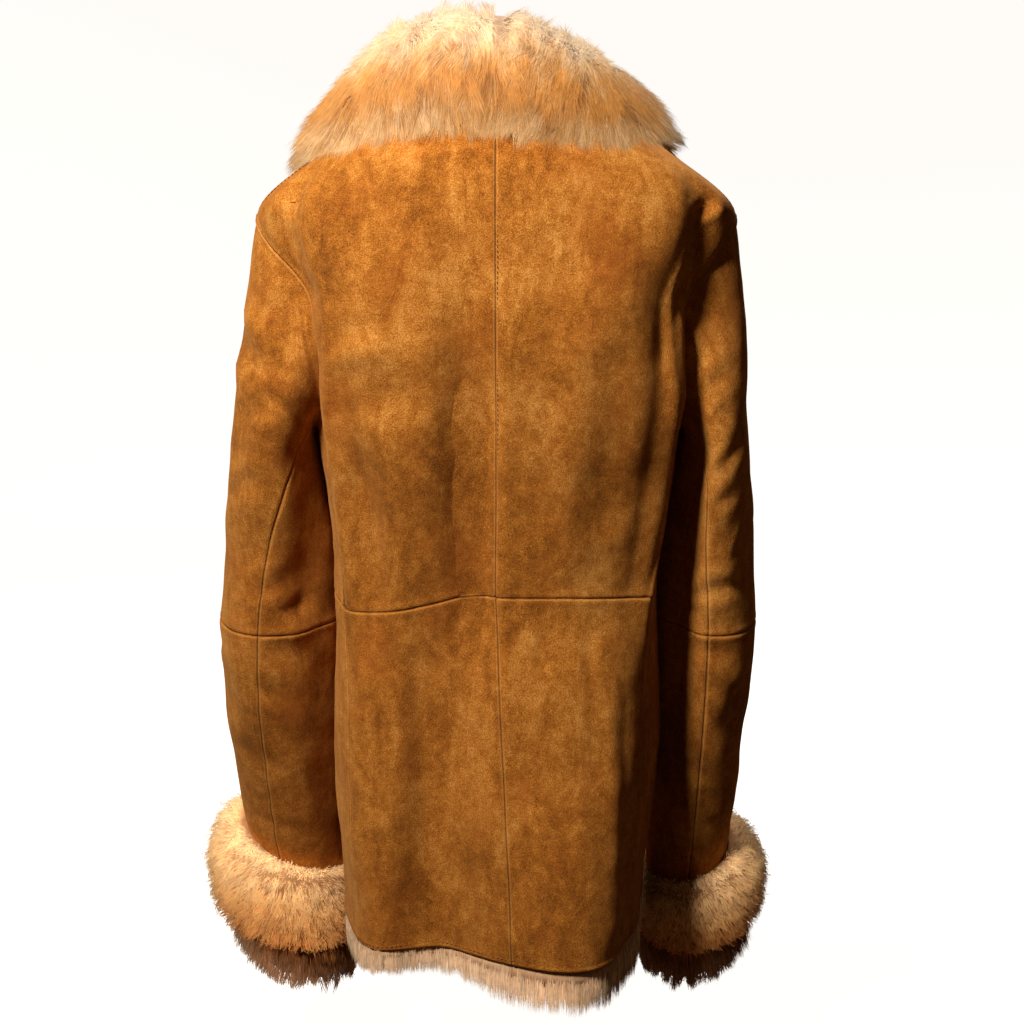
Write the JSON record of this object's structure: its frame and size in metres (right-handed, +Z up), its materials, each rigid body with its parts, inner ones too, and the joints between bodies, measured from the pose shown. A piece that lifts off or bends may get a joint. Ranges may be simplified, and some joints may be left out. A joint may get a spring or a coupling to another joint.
{
  "type": "shearling coat",
  "caption": "Hip-length shearling coat filled out as when worn: suede outside, wool inside, long-haired fur collar and lapels, turned-back fur cuffs, wool showing below the hem",
  "frame": {"origin": "middle of the neck opening, level with the collar seam at the centre back, where the wearer's neck and shoulders hold the coat up", "axes": "+Z up, the back of the coat faces +Y, the front faces -Y, +X is the wearer's left"},
  "size_m": [0.5525, 0.3206, 0.9189],
  "materials": {
    "suede": "matt napped suede",
    "collar_fur": "long soft fur",
    "cuff_fur": "long curly fur",
    "wool": "straight sheep's wool"
  },
  "bodies": {
    "root": {"back_upper_left": "suede", "front_upper_left": "suede", "side_upper_left": "suede", "back_lower_left": "suede", "side_lower_left": "suede", "front_lower_left": "suede", "back_upper_right": "suede", "front_upper_right": "suede", "side_upper_right": "suede", "back_lower_right": "suede", "side_lower_right": "suede", "front_lower_right": "suede", "sleeve_top_upper_left": "suede", "sleeve_under_upper_left": "suede", "sleeve_top_lower_left": "suede", "sleeve_under_lower_left": "suede", "sleeve_top_upper_right": "suede", "sleeve_under_upper_right": "suede", "sleeve_top_lower_right": "suede", "sleeve_under_lower_right": "suede", "cuff_left": "cuff_fur", "cuff_right": "cuff_fur", "hem_wool_left": "wool", "hem_wool_right": "wool", "edge_wool_left": "wool", "edge_wool_right": "wool", "lapel_left": "collar_fur", "collar": "collar_fur", "lapel_right": "collar_fur"}
  },
  "joints": []
}
